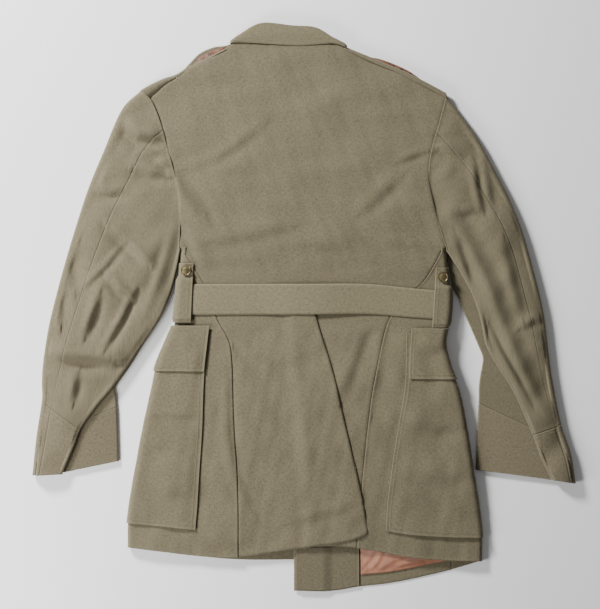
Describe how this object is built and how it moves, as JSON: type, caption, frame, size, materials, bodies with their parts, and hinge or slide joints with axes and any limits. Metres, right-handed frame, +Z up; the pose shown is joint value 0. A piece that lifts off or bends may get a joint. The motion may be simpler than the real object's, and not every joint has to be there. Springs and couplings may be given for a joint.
{
  "type": "military jacket",
  "caption": "Belted wool service jacket laid face down, with patch pockets, side belt carriers, a half-open back vent and brass buttons.",
  "frame": {"origin": "centre of the laid jacket's outline, on the surface that it lies on", "axes": "+Y from the hem towards the collar, +X towards the sleeve at the picture's right (the wearer's right), +Z up out of the surface, through the back that faces up"},
  "size_m": [0.8162, 0.8548, 0.0216],
  "materials": {
    "wool": "olive-drab wool barathea, matt, fine heathered weave",
    "wool_light": "the same wool seen a shade lighter, matt",
    "wool_dark": "the same wool seen a shade darker, matt",
    "lining": "salmon satin lining, soft sheen",
    "brass": "dull brass, worn"
  },
  "bodies": {
    "root": {"back": "wool", "back_skirt_left": "wool", "back_skirt_right": "wool", "side_left": "wool", "side_right": "wool", "front_left": "wool", "front_right": "wool", "lapel_left": "wool", "lapel_right": "wool", "collar": "wool_light", "top_sleeve_left": "wool", "top_sleeve_right": "wool", "under_sleeve_left": "wool", "under_sleeve_right": "wool", "cuff_left": "wool_dark", "cuff_right": "wool_dark", "pocket_left": "wool", "pocket_right": "wool", "flap_left": "wool_light", "flap_right": "wool_light", "belt": "wool_light", "carrier_left": "wool_light", "carrier_right": "wool_light", "strap_left": "wool", "strap_right": "wool", "strap_lining_left": "lining", "strap_lining_right": "lining", "facing_right": "wool_dark", "lining_right": "lining", "buckle": "brass", "carrier_button_left": "brass", "carrier_button_right": "brass", "front_button_1": "brass", "front_button_2": "brass", "front_button_3": "brass", "front_button_4": "brass"}
  },
  "joints": []
}
